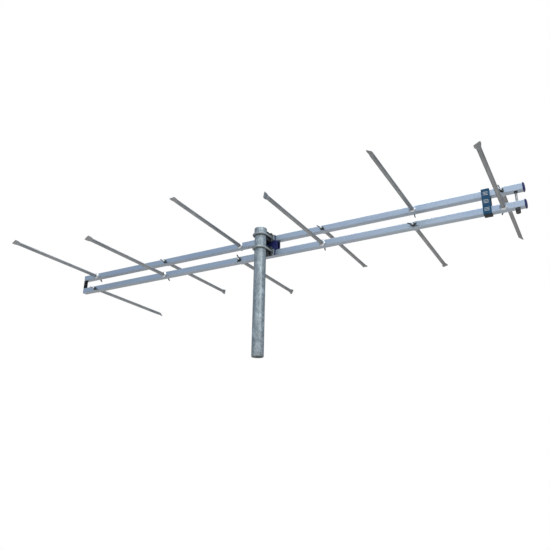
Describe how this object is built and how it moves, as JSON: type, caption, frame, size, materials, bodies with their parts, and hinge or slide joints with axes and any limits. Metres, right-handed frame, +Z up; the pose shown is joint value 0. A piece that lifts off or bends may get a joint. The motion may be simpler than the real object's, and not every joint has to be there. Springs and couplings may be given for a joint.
{
  "type": "log-periodic antenna",
  "caption": "Crossed dipole array on two parallel square booms, clamped by U-bolts to the top of a round mast stub, with a coaxial socket under the front end.",
  "frame": {"origin": "middle of the mast stub's lower end, on the mast's axis", "axes": "+X along the booms towards the feed end, +Y from the mast towards the booms, +Z up the mast"},
  "size_m": [2.0713, 0.972, 0.536],
  "materials": {
    "anodised_aluminium": "satin anodised square tube with a faint draw grain",
    "weathered_aluminium": "dull weathered tube, slightly streaked",
    "galvanised_steel": "hot-dip galvanised, mottled spangle",
    "bright_zinc": "bright zinc plated",
    "dark_zinc": "dark passivated zinc",
    "black_iron": "black cast iron with a rough cast skin",
    "dark_metal": "dark plated connector metal",
    "navy_plastic": "navy moulded plastic, semi-gloss",
    "blue_plastic": "blue moulded plastic, semi-gloss",
    "black_plastic": "black moulded plastic",
    "white_plastic": "white insulating plastic"
  },
  "bodies": {
    "mast": {"mast": "galvanised_steel", "mast_cap": "galvanised_steel"},
    "antenna": {"boom_upper": "anodised_aluminium", "boom_lower": "anodised_aluminium", "element_1_near": "weathered_aluminium", "root_seat_1_near": "bright_zinc", "element_1_far": "weathered_aluminium", "root_seat_1_far": "bright_zinc", "element_2_near": "weathered_aluminium", "root_seat_2_near": "bright_zinc", "element_2_far": "weathered_aluminium", "root_seat_2_far": "bright_zinc", "element_3_near": "weathered_aluminium", "root_seat_3_near": "bright_zinc", "element_3_far": "weathered_aluminium", "root_seat_3_far": "bright_zinc", "element_4_near": "weathered_aluminium", "root_seat_4_near": "bright_zinc", "element_4_far": "weathered_aluminium", "root_seat_4_far": "bright_zinc", "element_5_near": "weathered_aluminium", "root_seat_5_near": "bright_zinc", "element_5_far": "weathered_aluminium", "root_seat_5_far": "bright_zinc", "element_6_near": "weathered_aluminium", "root_seat_6_near": "bright_zinc", "element_6_far": "weathered_aluminium", "root_seat_6_far": "bright_zinc", "u_bolt_upper": "galvanised_steel", "u_bolt_lower": "galvanised_steel", "clamp_plate_upper": "galvanised_steel", "clamp_plate_lower": "galvanised_steel", "mast_jaw_upper": "black_iron", "mast_jaw_lower": "black_iron", "u_bolt_nut_upper_left": "bright_zinc", "u_bolt_nut_upper_right": "bright_zinc", "u_bolt_nut_lower_left": "bright_zinc", "u_bolt_nut_lower_right": "bright_zinc", "insulating_block": "navy_plastic", "end_cap_upper": "navy_plastic", "end_cap_lower": "navy_plastic", "rear_spacer": "black_plastic", "front_clamp_strap": "black_plastic", "front_clamp_cover": "blue_plastic", "front_spacer": "blue_plastic", "feed_rod": "weathered_aluminium", "connector_body": "dark_metal", "connector_insulator": "white_plastic"},
    "wing_nut_1_near": {"wing_nut_1_near": "dark_zinc"},
    "wing_nut_1_far": {"wing_nut_1_far": "dark_zinc"},
    "wing_nut_2_near": {"wing_nut_2_near": "dark_zinc"},
    "wing_nut_2_far": {"wing_nut_2_far": "dark_zinc"},
    "wing_nut_3_near": {"wing_nut_3_near": "dark_zinc"},
    "wing_nut_3_far": {"wing_nut_3_far": "dark_zinc"},
    "wing_nut_4_near": {"wing_nut_4_near": "dark_zinc"},
    "wing_nut_4_far": {"wing_nut_4_far": "dark_zinc"},
    "wing_nut_5_near": {"wing_nut_5_near": "dark_zinc"},
    "wing_nut_5_far": {"wing_nut_5_far": "dark_zinc"},
    "wing_nut_6_near": {"wing_nut_6_near": "dark_zinc"},
    "wing_nut_6_far": {"wing_nut_6_far": "dark_zinc"}
  },
  "joints": [
    {"name": "azimuth_turn", "type": "hinge", "parent": "mast", "child": "antenna", "pos_m": [0, 0, 0.478], "axis": [0, 0, 1], "continuous": true},
    {"name": "wing_nut_1_far_spin", "type": "hinge", "parent": "antenna", "child": "wing_nut_1_far", "pos_m": [-0.97, 0.068, 0.5101], "axis": [0, 1, 0], "continuous": true},
    {"name": "wing_nut_1_near_spin", "type": "hinge", "parent": "antenna", "child": "wing_nut_1_near", "pos_m": [-0.97, 0.068, 0.4459], "axis": [0, -1, 0], "continuous": true},
    {"name": "wing_nut_2_far_spin", "type": "hinge", "parent": "antenna", "child": "wing_nut_2_far", "pos_m": [-0.5443, 0.068, 0.4459], "axis": [0, 1, 0], "continuous": true},
    {"name": "wing_nut_2_near_spin", "type": "hinge", "parent": "antenna", "child": "wing_nut_2_near", "pos_m": [-0.5443, 0.068, 0.5101], "axis": [0, -1, 0], "continuous": true},
    {"name": "wing_nut_3_far_spin", "type": "hinge", "parent": "antenna", "child": "wing_nut_3_far", "pos_m": [-0.1372, 0.068, 0.5101], "axis": [0, 1, 0], "continuous": true},
    {"name": "wing_nut_3_near_spin", "type": "hinge", "parent": "antenna", "child": "wing_nut_3_near", "pos_m": [-0.1372, 0.068, 0.4459], "axis": [0, -1, 0], "continuous": true},
    {"name": "wing_nut_4_far_spin", "type": "hinge", "parent": "antenna", "child": "wing_nut_4_far", "pos_m": [0.2521, 0.068, 0.4459], "axis": [0, 1, 0], "continuous": true},
    {"name": "wing_nut_4_near_spin", "type": "hinge", "parent": "antenna", "child": "wing_nut_4_near", "pos_m": [0.2521, 0.068, 0.5101], "axis": [0, -1, 0], "continuous": true},
    {"name": "wing_nut_5_far_spin", "type": "hinge", "parent": "antenna", "child": "wing_nut_5_far", "pos_m": [0.6244, 0.068, 0.5101], "axis": [0, 1, 0], "continuous": true},
    {"name": "wing_nut_5_near_spin", "type": "hinge", "parent": "antenna", "child": "wing_nut_5_near", "pos_m": [0.6244, 0.068, 0.4459], "axis": [0, -1, 0], "continuous": true},
    {"name": "wing_nut_6_far_spin", "type": "hinge", "parent": "antenna", "child": "wing_nut_6_far", "pos_m": [0.9455, 0.068, 0.4459], "axis": [0, 1, 0], "continuous": true},
    {"name": "wing_nut_6_near_spin", "type": "hinge", "parent": "antenna", "child": "wing_nut_6_near", "pos_m": [0.9455, 0.068, 0.5101], "axis": [0, -1, 0], "continuous": true}
  ]
}
